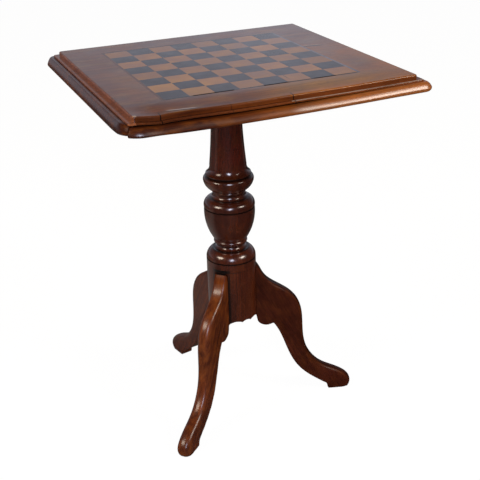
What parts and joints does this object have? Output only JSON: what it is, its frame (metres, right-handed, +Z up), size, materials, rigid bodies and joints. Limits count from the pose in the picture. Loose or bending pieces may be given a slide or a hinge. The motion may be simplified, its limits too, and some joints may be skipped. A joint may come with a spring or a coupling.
{
  "type": "chess table",
  "caption": "Pedestal chess table: a moulded mahogany top with an inlaid board tips up on a turned pillar with cabriole legs, and a brass slide bolt holds it level.",
  "frame": {"origin": "on the floor on the axis of the pillar, within 4 mm of the middle of the bounding box", "axes": "+X to the right along the near edge of the board, +Y away from the viewer, +Z up"},
  "size_m": [0.557, 0.533, 0.72],
  "materials": {
    "turned_mahogany": "turned mahogany, stained dark red and french polished",
    "leg_mahogany": "sawn and shaped mahogany, stained and french polished",
    "board_mahogany": "planed mahogany boards, french polished and a little worn",
    "moulding_mahogany": "moulded mahogany strip, french polished",
    "planed_mahogany": "planed mahogany left unpolished on the underside",
    "wedge_oak": "riven oak",
    "dark_veneer": "dark stained squares, polished",
    "light_veneer": "pale squares, polished and yellowed",
    "ebonised_line": "ebonised line, polished",
    "forged_iron": "wrought iron, dark with age",
    "cast_brass": "cast and filed brass, dulled"
  },
  "bodies": {
    "base": {"pillar": "turned_mahogany", "leg_right": "leg_mahogany", "leg_back": "leg_mahogany", "leg_front": "leg_mahogany", "spider_plate": "forged_iron", "spider_screws": "forged_iron", "tilt_block": "planed_mahogany", "tenon_wedge": "wedge_oak", "pivot_pins": "forged_iron", "bolt_keep": "cast_brass", "keep_screws": "cast_brass"},
    "top": {"board_front": "board_mahogany", "board_back": "board_mahogany", "dark_squares": "dark_veneer", "light_squares": "light_veneer", "stringing": "ebonised_line", "moulding_front": "moulding_mahogany", "moulding_right": "moulding_mahogany", "moulding_back": "moulding_mahogany", "moulding_left": "moulding_mahogany", "bearer_left": "planed_mahogany", "bearer_right": "planed_mahogany", "bearer_screws": "forged_iron", "bolt_plate": "cast_brass", "bolt_plate_screws": "cast_brass"},
    "catch_bolt": {"bolt_bar": "cast_brass", "bolt_knob": "cast_brass"}
  },
  "joints": [
    {"name": "top_tilt", "type": "hinge", "parent": "base", "child": "top", "pos_m": [0, -0.062, 0.6885], "axis": [1, 0, 0], "range_deg": [0, 90]},
    {"name": "catch_slide", "type": "slide", "parent": "top", "child": "catch_bolt", "axis": [0, -1, 0], "range_m": [0, 0.012]}
  ]
}
